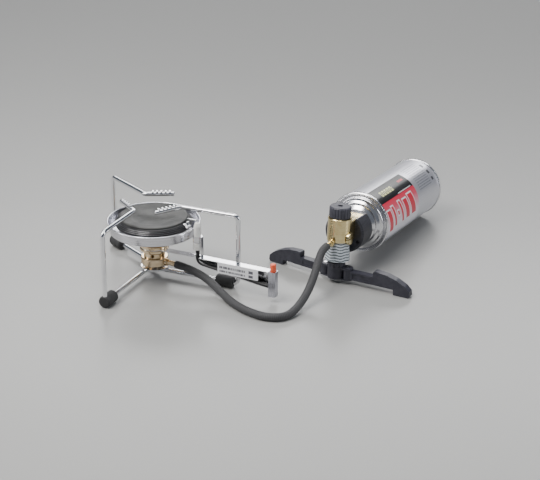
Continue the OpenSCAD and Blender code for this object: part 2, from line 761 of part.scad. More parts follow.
module can_dome() {
    color("whitesmoke") along_can(can_reach) can_end([[1.2, 6], [1.2, 3.6], [3.6, 3], [5, -1.2],
        [7.2, -1.6], [9.6, -3.6], [11.8, -4], [can_r - 17, -7.4], [can_r - 15.2, -7.6],
        [can_r - 15.2, -8.4], [can_r - 17.2, -8.2], [11.8, -4.8], [9.6, -4.4], [7, -2.4],
        [4.4, -2], [3, 2.2], [1.8, 2.8], [1.4, 0.6], [0.9, 0]]);
}

module can_base() {
    color("whitesmoke") along_can(can_reach + can_len) mirror([0, 0, 1])
        can_end([[1.4, 6], [3.2, 4.4], [can_r, 11], [can_r, 10.3], [3.6, 3.7], [1.8, 2.4],
            [1.4, 0.6], [0.9, 0]]);
}

module can_collar() {
    color("gainsboro") along_can(can_reach) difference() {
        rotate_extrude() polygon([[3.2, -11], [13.4, -11], [13.4, -18], [16, -18], [16, -16.2],
            [15.1, -16.2], [15.1, -7.6], [14.2, -7.6], [14.2, -10.2], [3.2, -10.2]]);
        rotate([0, 0, 200]) translate([13, -2.5, -19]) cube([6, 5, 3.6]);
    }
}

module can_stem() {
    color("white") along_can(can_reach) difference() {
        union() {
            translate([0, 0, -can_reach + block_end - 2.8]) cylinder(r = stem_r, h = can_reach - block_end - 3);
            translate([0, 0, -6]) cylinder(r = 3, h = 8);
        }
        translate([0, 0, -can_reach + block_end - 4]) cylinder(r = 0.9, h = 30);
    }
}

// ---- one node at a time ----

burner_bowl();
burner_base();
port_ring();
burner_cap();
mixer_tube();
strap_nut();
gas_block();
gas_jet();
burner_hose_tail();
leg_hub();
hub_screw();
at_leg(0) leg_wire();  // leg_wire_front
at_leg(1) leg_wire();  // leg_wire_right
at_leg(2) leg_wire();  // leg_wire_back
at_leg(0) foot(0);  // foot_front
at_leg(1) foot(1);  // foot_right
at_leg(2) foot(2);  // foot_back
electrode_holder();
electrode_clip();
electrode_rod();
igniter_bracket();
bracket_rivets();
piezo_case();
piezo_unit();
button_spring();
igniter_button();
ignition_lead();
ground_lead();
bracket_label();
hose();
valve_body();
valve_spindle();
spindle_seal();
gland_nut();
knob();
knob_screw();
side_plug();
valve_hose_tail();
adapter_shell();
can_nozzle();
nozzle_seal();
valve_post();
tag_sleeve();
stand_hub();
at_stand_pivot(stand_left_az) stand_leg();  // stand_leg_left
at_stand_pivot(stand_right_az) stand_leg();  // stand_leg_right
stand_pins();
can_body();
can_dome();
can_base();
can_collar();
can_stem();
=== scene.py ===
"""A remote canister stove on a studio floor: wire-legged burner, igniter, hose, valve and gas can."""
import json
import math
from math import cos, radians, sin, tan

import bmesh
import bpy
from mathutils import Euler, Matrix, Vector


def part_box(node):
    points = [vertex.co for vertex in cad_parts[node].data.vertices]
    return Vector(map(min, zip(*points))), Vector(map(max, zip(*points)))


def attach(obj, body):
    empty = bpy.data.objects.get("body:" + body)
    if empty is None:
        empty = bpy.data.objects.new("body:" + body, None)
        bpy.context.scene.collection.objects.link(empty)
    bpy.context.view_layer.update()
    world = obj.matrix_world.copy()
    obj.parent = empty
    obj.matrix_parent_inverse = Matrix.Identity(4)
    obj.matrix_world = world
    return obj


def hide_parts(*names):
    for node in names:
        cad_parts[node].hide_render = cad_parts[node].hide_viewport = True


bl_info = {
    "name": "Remote Canister Stove",
    "version": (1, 0, 0),
    "blender": (4, 5, 0),
    "location": "View3D > Sidebar > Stove",
    "description": "Builds a camping stove's visible pieces and finishes around its packed frame",
    "category": "Object",
}

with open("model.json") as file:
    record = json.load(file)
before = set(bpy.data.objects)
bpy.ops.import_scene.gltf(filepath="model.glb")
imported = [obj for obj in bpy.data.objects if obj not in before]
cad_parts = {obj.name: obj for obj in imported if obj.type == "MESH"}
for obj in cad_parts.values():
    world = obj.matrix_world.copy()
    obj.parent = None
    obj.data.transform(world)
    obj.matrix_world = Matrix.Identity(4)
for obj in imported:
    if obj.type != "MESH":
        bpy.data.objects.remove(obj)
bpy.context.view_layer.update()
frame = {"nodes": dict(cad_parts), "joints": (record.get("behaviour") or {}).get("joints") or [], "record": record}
MM = 0.001


# ---- where things are ----

def joint(name):
    return next(j for j in frame["joints"] if j["name"] == name)


def middle(node):
    low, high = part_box(node)
    return (low + high) / 2


def frame_at(origin, x_axis, z_axis):
    """A matrix from local millimetres to the stove's metres."""
    z = Vector(z_axis).normalized()
    y = z.cross(Vector(x_axis)).normalized()
    turn = Matrix((y.cross(z), y, z)).transposed().to_4x4()
    return Matrix.Translation(origin) @ turn @ Matrix.Scale(MM, 4)


def shift(x, y, z):
    return Matrix.Translation((x, y, z))


def spin(degrees, axis):
    return Matrix.Rotation(radians(degrees), 4, axis)


def turned(place, degrees):
    return place @ spin(degrees, "Z")


BURNER_AXIS = middle("burner_cap")
# heights of the bowl's underside and of its rolled rim
BOWL_BASE, RIM_Z = 44.0, 64.0
BURNER = frame_at((BURNER_AXIS.x, BURNER_AXIS.y, 0), (1, 0, 0), (0, 0, 1))
CAN_AXIS = Vector(joint("twist_can")["axis"])
VALVE_UP = Vector(joint("knob_turn")["axis"])
# the valve's frame has X along the can and Z up its own axis; the can's frame has Z along the can
CAN_NEAR = Vector(joint("twist_can")["pos_m"])
CAN_REACH = 53.0
VALVE = frame_at(CAN_NEAR - CAN_AXIS * CAN_REACH * MM, CAN_AXIS, VALVE_UP)
CAN = frame_at(CAN_NEAR, VALVE_UP, CAN_AXIS)


IGNITER_BUTTON = middle("igniter_button") - BURNER_AXIS
IGNITER_TURN = math.degrees(math.atan2(IGNITER_BUTTON.y, IGNITER_BUTTON.x)
                            + math.asin(4.25 * MM / IGNITER_BUTTON.to_2d().length))
IGNITER = turned(BURNER, IGNITER_TURN)
IGNITER_CASE = IGNITER @ shift(142, -4.25, 0)
# name, direction of the pivot, direction of the leg, where its foot starts along the bottom run
LEGS = (("front", 180.0, -114.0, 71.0), ("right", 0.0, -22.0, 63.0), ("back", 70.0, 128.0, 71.0))


LEG_RUN, LEG_LOW, LEG_TOP, FOOT_LONG = 88, 6.5, 83, 20
TIP_START, TIP_LONG, TIP_TURN = 23, 32, 235
TEETH, TOOTH_FIRST, TOOTH_PITCH, TOOTH_Z = 5, 8.4, 4.6, 84.35


def leg_frame(site):
    pivot = turned(BURNER, site[1]) @ shift(9, 0, 0)
    return turned(pivot, site[2] - site[1])


# ---- outlines and meshes ----

finishes = {}


def rounded(points, radius, closed=False, steps=5):
    """The outline with its corners turned into arcs. A point's third value is its own radius."""
    n = len(points)
    out = []
    for i, p in enumerate(points):
        r = p[2] if len(p) > 2 else radius
        here = Vector(p[:2])
        if (not closed and i in (0, n - 1)) or r <= 0:
            out.append(here)
            continue
        before, after = Vector(points[i - 1][:2]) - here, Vector(points[(i + 1) % n][:2]) - here
        half = before.angle(after) / 2
        if half > math.pi / 2 - 0.02:
            out.append(here)
            continue
        cut = min(r / tan(half), 0.48 * before.length, 0.48 * after.length)
        r = cut * tan(half)
        centre = here + (before.normalized() + after.normalized()).normalized() * r / sin(half)
        a, b = here + before.normalized() * cut - centre, here + after.normalized() * cut - centre
        sweep = a.angle_signed(b)
        out += [centre + Matrix.Rotation(-sweep * k / steps, 2) @ a for k in range(steps + 1)]
    return out


def finish_mesh(name, verts, faces, place, body, slot, sharp=35, swaps=(), uvs=None):
    mesh = bpy.data.meshes.new(name)
    mesh.from_pydata([place @ Vector(v) for v in verts], [], faces)
    if uvs:
        layer = mesh.uv_layers.new(name="surface")
        for poly in mesh.polygons:
            for corner, loop in enumerate(poly.loop_indices):
                layer.data[loop].uv = uvs[poly.index][corner]
    piece = bpy.data.objects.new(name, mesh)
    bpy.context.scene.collection.objects.link(piece)
    return settle(piece, body, slot, sharp, swaps)


def settle(piece, body, slot, sharp=35, swaps=(), finish=None):
    """Outward normals, smooth shading, its slot's finish or another, and its place among the bodies."""
    work = bmesh.new()
    work.from_mesh(piece.data)
    bmesh.ops.remove_doubles(work, verts=work.verts, dist=1e-7)
    bmesh.ops.dissolve_degenerate(work, edges=work.edges, dist=1e-8)
    bmesh.ops.recalc_face_normals(work, faces=work.faces)
    work.to_mesh(piece.data)
    work.free()
    piece.data.shade_smooth()
    piece.data.set_sharp_from_angle(angle=radians(sharp))
    piece.data.materials.clear()
    piece.data.materials.append(finishes[finish or slot])
    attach(piece, body)
    if swaps:
        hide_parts(*swaps)
    return piece


def lathe_faces(profile, turns=96, start=0.0, sweep=360.0, wave=None):
    """Vertices and faces of a profile of (radius, height) turned about Z, open or closed."""
    verts, faces = [], []
    closed = profile[0] == profile[-1] or (profile[0][0] > 0 and profile[-1][0] > 0)
    ring = list(profile[:-1]) if profile[0] == profile[-1] else list(profile)
    n = len(ring)
    full = abs(sweep - 360.0) < 1e-6
    count = turns if full else turns + 1
    for k in range(count):
        angle = radians(start + sweep * k / turns)
        for r, z in ring:
            r = r * wave(angle, z) if wave else r
            verts.append((r * cos(angle), r * sin(angle), z))
    for k in range(turns):
        a, b = k * n, ((k + 1) % count) * n
        for i in range(n if closed else n - 1):
            j = (i + 1) % n
            faces.append((a + i, b + i, b + j, a + j))
    return verts, faces


def lathe(name, profile, place, body, slot, turns=96, sharp=35, swaps=(), wave=None):
    profile = [tuple(p) for p in profile]
    verts, faces = lathe_faces(profile, turns, wave=wave)
    return finish_mesh(name, verts, faces, place, body, slot, sharp, swaps)


def joined(shapes):
    """Several (verts, faces) as one."""
    verts, faces = [], []
    for v, f in shapes:
        base = len(verts)
        verts += list(v)
        faces += [tuple(i + base for i in face) for face in f]
    return verts, faces


def moved(shape, matrix):
    return [tuple(matrix @ Vector(v)) for v in shape[0]], shape[1]


def prism(outline, depth, chamfer=0.0):
    """An outline in XY pushed up Z, with a small chamfer around both ends."""
    outline = [Vector(p) for p in outline]
    n = len(outline)
    area = sum(outline[i - 1].x * outline[i].y - outline[i].x * outline[i - 1].y for i in range(n))
    if area < 0:
        outline.reverse()
    inner = []
    for i, p in enumerate(outline):
        a, b = (p - outline[i - 1]).normalized(), (outline[(i + 1) % n] - p).normalized()
        side = Vector((-(a.y + b.y), a.x + b.x))
        scale = chamfer / max(0.3, side.length / 2) if side.length > 1e-6 else 0
        inner.append(p + side.normalized() * scale if side.length > 1e-6 else p)
    layers = [(inner, 0), (outline, chamfer), (outline, depth - chamfer), (inner, depth)]
    verts = [(p.x, p.y, z) for line, z in layers for p in line]
    faces = [tuple(range(n - 1, -1, -1)), tuple(range(3 * n, 4 * n))]
    for layer in range(3):
        for i in range(n):
            j = (i + 1) % n
            faces.append((layer * n + i, layer * n + j, (layer + 1) * n + j, (layer + 1) * n + i))
    return verts, faces


def round_path(points, radii, step=10.0):
    """A 3-D path with its corners turned into arcs, one radius for each inner point."""
    out = [Vector(points[0])]
    for i in range(1, len(points) - 1):
        here = Vector(points[i])
        before, after = Vector(points[i - 1]) - here, Vector(points[i + 1]) - here
        half = before.angle(after) / 2
        cut = radii[i - 1] / tan(half)
        centre = here + (before.normalized() + after.normalized()).normalized() * radii[i - 1] / sin(half)
        a = here + before.normalized() * cut - centre
        b = here + after.normalized() * cut - centre
        axis, sweep = a.cross(b).normalized(), a.angle(b)
        count = max(3, int(math.degrees(sweep) / step))
        out += [centre + Matrix.Rotation(sweep * k / count, 3, axis) @ a for k in range(count + 1)]
    out.append(Vector(points[-1]))
    return out


def flowing(points, steps=6):
    """A smooth curve through every point."""
    pts = [Vector(p) for p in points]
    out = []
    for i in range(len(pts) - 1):
        p0, p1, p2, p3 = pts[max(i - 1, 0)], pts[i], pts[i + 1], pts[min(i + 2, len(pts) - 1)]
        for k in range(steps):
            t = k / steps
            out.append(0.5 * (2 * p1 + (p2 - p0) * t + (2 * p0 - 5 * p1 + 4 * p2 - p3) * t * t
                              + (3 * p1 - p0 - 3 * p2 + p3) * t ** 3))
    out.append(pts[-1])
    return out


def sweep(path, radius, sides=20, dome=0.0):
    """A round tube along a path, its ends closed and, with dome, softly rounded."""
    path = [Vector(p) for p in path]
    rings = [(p, radius) for p in path]
    if dome:
        first, last = (path[0] - path[1]).normalized(), (path[-1] - path[-2]).normalized()
        caps = [(0.35, 0.93), (0.7, 0.71), (0.93, 0.38)]
        rings = ([(path[0] + first * dome * a, radius * b) for a, b in reversed(caps)] + rings
                 + [(path[-1] + last * dome * a, radius * b) for a, b in caps])
    n = len(rings)
    tangents = [(rings[min(i + 1, n - 1)][0] - rings[max(i - 1, 0)][0]).normalized() for i in range(n)]
    side = tangents[0].orthogonal().normalized()
    verts, faces, lengths, length = [], [], [], 0.0
    for i, (p, r) in enumerate(rings):
        if i:
            side = (tangents[i - 1].rotation_difference(tangents[i]) @ side).normalized()
            length += (p - rings[i - 1][0]).length
        lengths.append(length)
        up = tangents[i].cross(side)
        for k in range(sides):
            angle = math.tau * k / sides
            verts.append(p + (side * cos(angle) + up * sin(angle)) * r)
    uvs = []
    for i in range(n - 1):
        for k in range(sides):
            j = (k + 1) % sides
            faces.append((i * sides + k, i * sides + j, (i + 1) * sides + j, (i + 1) * sides + k))
            u0, u1 = k / sides, (k + 1) / sides
            uvs.append([(u0, lengths[i]), (u1, lengths[i]), (u1, lengths[i + 1]), (u0, lengths[i + 1])])
    faces += [tuple(range(sides - 1, -1, -1)), tuple(range((n - 1) * sides, n * sides))]
    uvs += [[(0.5, 0.0)] * sides, [(0.5, length)] * sides]
    return verts, faces, uvs


def scattered(name, shape, points, place, body, slot, finish=None):
    """One small shape set at each point by Geometry Nodes, each turned by the point's angle."""
    seed = bpy.data.meshes.new(name + "_shape")
    seed.from_pydata([tuple(Vector(v) * MM) for v in shape[0]], [], shape[1])
    stamp = bpy.data.objects.new(name + "_shape", seed)
    cloud = bpy.data.meshes.new(name)
    cloud.from_pydata([place @ Vector(p[:3]) for p in points], [], [])
    turns = cloud.attributes.new("turn", "FLOAT_VECTOR", "POINT")
    base = place.to_quaternion()
    for i, p in enumerate(points):
        local = Euler([radians(a) for a in p[3:6]], "XYZ").to_quaternion()
        turns.data[i].vector = tuple((base @ local).to_euler("XYZ"))
    holder = bpy.data.objects.new(name, cloud)
    bpy.context.scene.collection.objects.link(holder)
    tree = bpy.data.node_groups.new(name + "_layout", "GeometryNodeTree")
    for label, way, kind in (("Points", "INPUT", "Geometry"), ("Shape", "INPUT", "Object"),
                             ("Size", "INPUT", "Float"), ("Finish", "INPUT", "Material"),
                             ("Pieces", "OUTPUT", "Geometry")):
        tree.interface.new_socket(label, in_out=way, socket_type="NodeSocket" + kind)
    source, result, info, read, place_on, face, real, coat = [tree.nodes.new(kind) for kind in (
        "NodeGroupInput", "NodeGroupOutput", "GeometryNodeObjectInfo", "GeometryNodeInputNamedAttribute",
        "GeometryNodeInstanceOnPoints", "FunctionNodeEulerToRotation", "GeometryNodeRealizeInstances",
        "GeometryNodeSetMaterial")]
    read.data_type = "FLOAT_VECTOR"
    read.inputs["Name"].default_value = "turn"
    for a, out, b, into in ((source, "Shape", info, "Object"), (source, "Points", place_on, "Points"),
                            (info, "Geometry", place_on, "Instance"), (read, "Attribute", face, "Euler"),
                            (face, "Rotation", place_on, "Rotation"), (source, "Size", place_on, "Scale"),
                            (place_on, "Instances", real, "Geometry"), (real, "Geometry", coat, "Geometry"),
                            (source, "Finish", coat, "Material"), (coat, "Geometry", result, "Pieces")):
        tree.links.new(a.outputs[out], b.inputs[into])
    modifier = holder.modifiers.new("layout", "NODES")
    modifier.node_group = tree
    ids = {s.name: s.identifier for s in tree.interface.items_tree if s.in_out == "INPUT"}
    modifier[ids["Shape"]] = stamp
    modifier[ids["Size"]] = 1.0
    modifier[ids["Finish"]] = finishes[finish or slot]
    bpy.context.view_layer.update()
    plain = bpy.data.meshes.new_from_object(holder.evaluated_get(bpy.context.evaluated_depsgraph_get()))
    if not plain.polygons:
        raise RuntimeError(f"{name}: the layout made nothing")
    holder.modifiers.remove(modifier)
    holder.data = plain
    bpy.data.objects.remove(stamp)
    return settle(holder, body, slot, finish=finish)


# ---- finishes ----

class Flow:
    """A value between shader nodes. Sums, products and comparisons add Math nodes."""

    def __init__(self, finish, socket):
        self.finish, self.socket = finish, socket

    def _math(self, operation, *values):
        return self.finish.node("ShaderNodeMath", {"operation": operation}, *values)

    def __add__(self, other): return self._math("ADD", self, other)
    def __radd__(self, other): return self._math("ADD", other, self)
    def __sub__(self, other): return self._math("SUBTRACT", self, other)
    def __rsub__(self, other): return self._math("SUBTRACT", other, self)
    def __mul__(self, other): return self._math("MULTIPLY", self, other)
    def __rmul__(self, other): return self._math("MULTIPLY", other, self)
    def __truediv__(self, other): return self._math("DIVIDE", self, other)
    def __rtruediv__(self, other): return self._math("DIVIDE", other, self)
    def __gt__(self, other): return self._math("GREATER_THAN", self, other)
    def __lt__(self, other): return self._math("LESS_THAN", self, other)
    def __mod__(self, other): return self._math("FLOORED_MODULO", self, other)
    def __rmod__(self, other): return self._math("FLOORED_MODULO", other, self)
    def sine(self): return self._math("SINE", self)
    def floor(self): return self._math("FLOOR", self)
    def within(self, low, high): return (self > low) * (self < high)


class Finish:
    """A material, its shader and the nodes that give it detail."""

    def __init__(self, name, colour, roughness, metallic=0.0, **constants):
        self.material = finishes[name] = bpy.data.materials.new(name)
        self.material.use_nodes = True
        self.tree = self.material.node_tree
        self.shader = self.tree.nodes["Principled BSDF"]
        self.material.diffuse_color = (*colour, 1)
        self.set(Base_Color=colour, Roughness=roughness, Metallic=metallic, **constants)

    def feed(self, socket, value):
        if isinstance(value, Flow):
            self.tree.links.new(value.socket, socket)
        elif hasattr(value, "__len__") and socket.type == "RGBA" and len(value) == 3:
            socket.default_value = (*value, 1)
        else:
            socket.default_value = value

    def set(self, **values):
        for name, value in values.items():
            self.feed(self.shader.inputs[name.replace("_", " ")], value)

    def node(self, kind, settings=None, *values, out=0, **named):
        made = self.tree.nodes.new(kind)
        for name, value in (settings or {}).items():
            if name == "stops":
                ramp = made.color_ramp
                while len(ramp.elements) < len(value):
                    ramp.elements.new(0.5)
                for element, (at, colour) in zip(ramp.elements, value):
                    element.position = at
                    element.color = (*colour, 1) if hasattr(colour, "__len__") else (colour,) * 3 + (1,)
            else:
                setattr(made, name, value)
        for i, value in enumerate(values):
            self.feed(made.inputs[i], value)
        for name, value in named.items():
            self.feed(made.inputs[name.replace("_", " ")], value)
        return Flow(self, made.outputs[out])

    def local(self, place=None):
        """Position in millimetres, in the given frame."""
        place = place or Matrix.Scale(MM, 4)
        where, turn, _ = place.decompose()
        point = self.node("ShaderNodeTexCoord", out=3)
        return self.node("ShaderNodeMapping", {"vector_type": "TEXTURE"}, point,
                         Location=tuple(where), Rotation=tuple(turn.to_euler("XYZ")), Scale=(MM,) * 3)

    def parts(self, vector):
        made = self.tree.nodes.new("ShaderNodeSeparateXYZ")
        self.feed(made.inputs[0], vector)
        return [Flow(self, s) for s in made.outputs]

    def point(self, x, y, z):
        return self.node("ShaderNodeCombineXYZ", None, x, y, z)

    def polar(self, vector):
        x, y, z = self.parts(vector)
        radius = self.node("ShaderNodeMath", {"operation": "SQRT"}, x * x + y * y)
        return radius, self.node("ShaderNodeMath", {"operation": "ARCTAN2"}, y, x), z

    def noise(self, vector, scale, detail=3.0, roughness=0.5):
        return self.node("ShaderNodeTexNoise", None, Vector=vector, Scale=scale, Detail=detail,
                         Roughness=roughness)

    def ramp(self, value, *stops):
        return self.node("ShaderNodeValToRGB", {"stops": stops}, value)

    def mix(self, factor, a, b, blend="MIX"):
        made = self.tree.nodes.new("ShaderNodeMix")
        made.data_type, made.blend_type = "RGBA", blend
        for socket, value in ((made.inputs[0], factor), (made.inputs[6], a), (made.inputs[7], b)):
            self.feed(socket, value)
        return Flow(self, made.outputs[2])

    def range(self, value, a, b, c=0.0, d=1.0):
        return self.node("ShaderNodeMapRange", None, value, a, b, c, d)

    def bump(self, height, strength=0.3, distance=0.0002):
        self.set(Normal=self.node("ShaderNodeBump", None, Strength=strength, Distance=distance,
                                  Height=height))


def polished(name, colour, roughness):
    """Bright metal with faint handling marks."""
    f = Finish(name, colour, roughness, 1.0)
    p = f.local()
    cloud = f.noise(p, 0.09, 4.0, 0.6)
    fine = f.noise(p, 2.4, 2.0)
    f.set(Roughness=f.range(cloud * 0.7 + fine * 0.3, 0.3, 0.7, roughness * 0.75, roughness * 1.35),
          Base_Color=f.mix(f.range(cloud, 0.35, 0.7), colour, tuple(c * 0.88 for c in colour)))
    f.bump(fine, 0.05, 0.00004)


def turned_metal(name, colour, dark, roughness, place, pitch=3.2, depth=0.12):
    """Lathe-turned metal: fine rings about the piece's axis and slight tarnish."""
    f = Finish(name, colour, roughness, 1.0)
    p = f.local(place)
    radius, angle, z = f.polar(p)
    rings = f.noise(f.point(radius * pitch, angle * 0.25, z * pitch), 1.0, 3.0, 0.65)
    patch = f.noise(p, 0.13, 4.0, 0.6)
    f.set(Base_Color=f.mix(f.range(patch * 0.6 + rings * 0.4, 0.38, 0.66), colour, dark),
          Roughness=f.range(rings * 0.6 + patch * 0.4, 0.3, 0.7, roughness * 0.7, roughness * 1.4))
    f.bump(rings, depth, 0.00008)


def moulded(name, colour, roughness, grain=6.0, depth=0.15, **constants):
    """Moulded plastic or rubber: a fine pebbled skin, slightly worn and dusty in places."""
    f = Finish(name, colour, roughness, 0.0, **constants)
    p = f.local()
    skin = f.noise(p, grain, 2.0, 0.6)
    worn = f.noise(p, 0.16, 5.0, 0.62)
    dusty = tuple(min(1, c * 1.35 + 0.012) for c in colour)
    f.set(Base_Color=f.mix(f.range(worn, 0.42, 0.72), colour, dusty),
          Roughness=f.range(worn * 0.6 + skin * 0.4, 0.3, 0.7, roughness * 0.85, roughness * 1.15))
    f.bump(skin, depth, 0.00006)


def make_finishes(look):
    polished("wire_chrome", (0.95, 0.95, 0.97), 0.07)
    bowl = Finish("bowl_steel", (0.74, 0.74, 0.78), 0.2, 1.0)
    p = bowl.local(BURNER)
    radius, angle, z = bowl.polar(p)
    rings = bowl.noise(bowl.point(radius * 1.5, angle * 0.4, z * 2.6), 1.0, 3.0, 0.6)
    # random blotches plus painted shade: a ramp by height darkens the bowl towards its base
    blotch_and_shade = bowl.noise(p, 0.06, 3.0, 0.6) + bowl.range(z, BOWL_BASE, RIM_Z, 0.25, -0.15)
    bowl.set(Base_Color=bowl.mix(bowl.range(blotch_and_shade, 0.55, 0.85), (0.74, 0.74, 0.78), (0.62, 0.6, 0.6)),
             Roughness=bowl.range(rings, 0.3, 0.7, 0.15, 0.3))
    bowl.bump(rings, 0.1, 0.00006)

    cap = Finish("cap_grey", look.cap_colour, 0.5, 0.0, Specular_IOR_Level=0.35)
    p = cap.local(BURNER)
    radius, angle, _ = cap.polar(p)
    speck = cap.noise(p, 3.0, 3.0, 0.7)
    cloud = cap.noise(p, 0.07, 4.0, 0.6)
    rings = cap.noise(cap.point(radius * 1.2, angle * 0.3, 0.0), 1.0, 2.0)
    cap.set(Base_Color=cap.mix(cap.range(cloud * 0.6 + speck * 0.4, 0.36, 0.66),
                               tuple(look.cap_colour), tuple(c * 0.72 for c in look.cap_colour)),
            Roughness=cap.range(cloud * 0.5 + rings * 0.5, 0.3, 0.7, 0.42, 0.62))
    cap.bump(speck * 0.7 + rings * 0.3, 0.25, 0.00012)

    port = Finish("port_dark", (0.015, 0.015, 0.017), 0.5, 0.1)
    p = port.local(BURNER)
    soot = port.noise(p, 1.2, 4.0, 0.65)
    port.set(Base_Color=port.ramp(soot, (0.35, (0.008, 0.008, 0.01)), (0.6, (0.02, 0.02, 0.022)),
                                  (0.8, (0.05, 0.05, 0.05))),
             Roughness=port.range(soot, 0.3, 0.7, 0.35, 0.65))
    port.bump(soot, 0.4, 0.0002)

    cast = Finish("cast_grey", (0.16, 0.16, 0.17), 0.6, 0.6)
    p = cast.local(BURNER)
    sand = cast.noise(p, 1.8, 5.0, 0.7)
    cast.set(Base_Color=cast.ramp(sand, (0.3, (0.08, 0.08, 0.085)), (0.7, (0.24, 0.24, 0.25))))
    cast.bump(sand, 0.5, 0.0003)

    ceramic = Finish("ceramic_glaze", (0.86, 0.86, 0.83), 0.22, 0.0, Coat_Weight=0.5, Coat_Roughness=0.08)
    p = ceramic.local()
    stain = ceramic.noise(p, 0.35, 5.0, 0.65)
    ceramic.set(Base_Color=ceramic.mix(ceramic.range(stain, 0.5, 0.8), (0.87, 0.87, 0.84),
                                       (0.66, 0.62, 0.55)))
    ceramic.bump(ceramic.noise(p, 1.6, 2.0), 0.08, 0.0001)

    case = Finish("case_steel", (0.62, 0.62, 0.68), 0.3, 1.0)
    p = case.local()
    x, y, z = case.parts(p)
    drawn = case.noise(case.point(x * 3.0, y * 3.0, z * 0.12), 1.0, 3.0, 0.6)
    case.set(Roughness=case.range(drawn, 0.3, 0.7, 0.22, 0.42),
             Base_Color=case.mix(case.range(drawn, 0.4, 0.7), (0.66, 0.66, 0.72), (0.54, 0.54, 0.6)))
    case.bump(drawn, 0.08, 0.00005)

    finishes["ceramic"] = ceramic.material
    polished("port_dots", (0.2, 0.2, 0.21), 0.3)
    turned_metal("brass_burner", (0.9, 0.74, 0.52), (0.66, 0.48, 0.27), 0.2, BURNER)
    turned_metal("brass_valve", look.brass_colour, (0.7, 0.53, 0.24), 0.18, VALVE)
    polished("plate_steel", (0.86, 0.86, 0.88), 0.17)
    moulded("foot_rubber", (0.022, 0.022, 0.023), 0.62, 4.0, 0.25)
    moulded("ivory_plastic", (0.78, 0.75, 0.64), 0.5)
    moulded("button_red", look.button_colour, 0.32, 5.0, 0.05, Coat_Weight=0.3, Coat_Roughness=0.15)
    moulded("lead_black", (0.014, 0.014, 0.015), 0.4, 8.0, 0.1)
    moulded("seal_rubber", (0.02, 0.02, 0.02), 0.6)
    moulded("knob_black", (0.045, 0.045, 0.06), 0.42, 7.0, 0.12)
    moulded("screw_dark", (0.02, 0.02, 0.022), 0.4, 5.0, 0.1)
    moulded("stand_black", (0.028, 0.028, 0.04), 0.4, 6.0, 0.2)
    polished("post_grey", (0.3, 0.3, 0.31), 0.35)
    moulded("stem_white", (0.82, 0.82, 0.82), 0.4)
    tin_finish()
    can_print_finish(look)
    braid_finish(look)
    label_finish()
    tag_finish()
    adapter_finish()


def adapter_finish():
    f = Finish("adapter_black", (0.018, 0.018, 0.022), 0.42)
    radius, angle, z = f.polar(f.local(CAN))
    streak = f.noise(f.point(angle * 26.0, z * 0.1, radius * 0.15), 1.0, 3.0, 0.6)
    fine = f.noise(f.local(), 5.0, 2.0)
    f.set(Base_Color=f.ramp(streak, (0.35, (0.014, 0.014, 0.018)), (0.75, (0.06, 0.06, 0.075))),
          Roughness=f.range(streak, 0.3, 0.7, 0.34, 0.52))
    f.bump(streak * 0.7 + fine * 0.3, 0.3, 0.0001)


def tin_finish():
    f = Finish("can_tin", (0.92, 0.92, 0.93), 0.2, 1.0)
    p = f.local(CAN)
    radius, angle, z = f.polar(p)
    rings = f.noise(f.point(radius * 1.4, angle * 0.35, z * 1.0), 1.0, 3.0, 0.6)
    cloud = f.noise(p, 0.07, 4.0, 0.6)
    f.set(Base_Color=f.mix(f.range(cloud * 0.5 + rings * 0.5, 0.36, 0.66), (0.94, 0.94, 0.95),
                           (0.84, 0.84, 0.87)), Roughness=f.range(rings, 0.3, 0.7, 0.14, 0.26))
    f.bump(rings, 0.06, 0.00006)


# each bar's start and width along the can, and its two edges in degrees around it
PRINT_BARS = ((8.0, 9.0, 62.0, 104.0), (22.0, 5.0, 58.0, 98.0), (33.0, 4.0, 72.0, 80.0),
              (42.0, 5.0, 56.0, 98.0), (54.0, 10.0, 58.0, 97.0), (70.0, 12.0, 54.0, 96.0))


